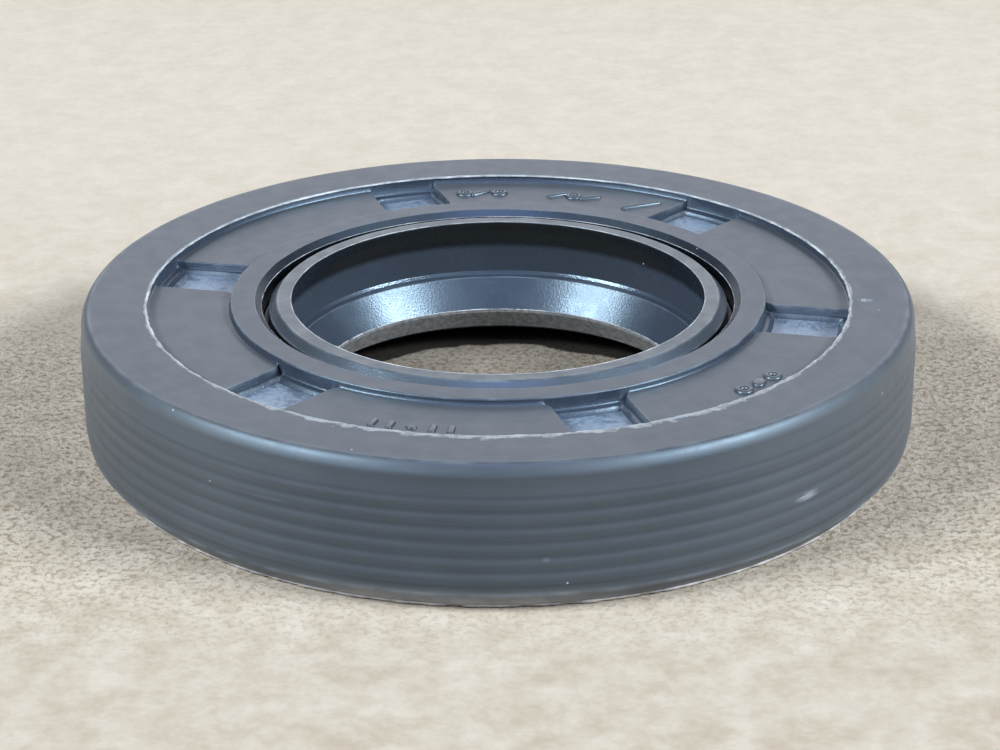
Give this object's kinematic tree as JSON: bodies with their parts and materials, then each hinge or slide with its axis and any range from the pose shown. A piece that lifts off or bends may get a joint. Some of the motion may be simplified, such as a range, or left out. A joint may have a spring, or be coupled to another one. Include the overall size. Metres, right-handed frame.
{
  "type": "radial shaft seal",
  "caption": "Ring-shaped rubber shaft seal with a ribbed outside, a recessed air-side face with locating pockets, a dust lip and a spring-loaded main lip round a steel case.",
  "frame": {"origin": "on the shaft axis, in the plane of the heel on the oil side, which is the bottom of the bounding box", "axes": "+Z along the shaft axis, from the oil side towards the air side; +X and +Y across the seal, with the first locating pocket 47.7 degrees from +X towards +Y"},
  "size_m": [0.0402, 0.0402, 0.007],
  "materials": {
    "rubber": "satin moulded blue-grey nitrile rubber",
    "case_steel": "phosphated pressed steel",
    "spring_steel": "drawn spring wire"
  },
  "bodies": {
    "root": {"rubber_body": "rubber", "steel_case": "case_steel", "garter_spring": "spring_steel"}
  },
  "joints": []
}
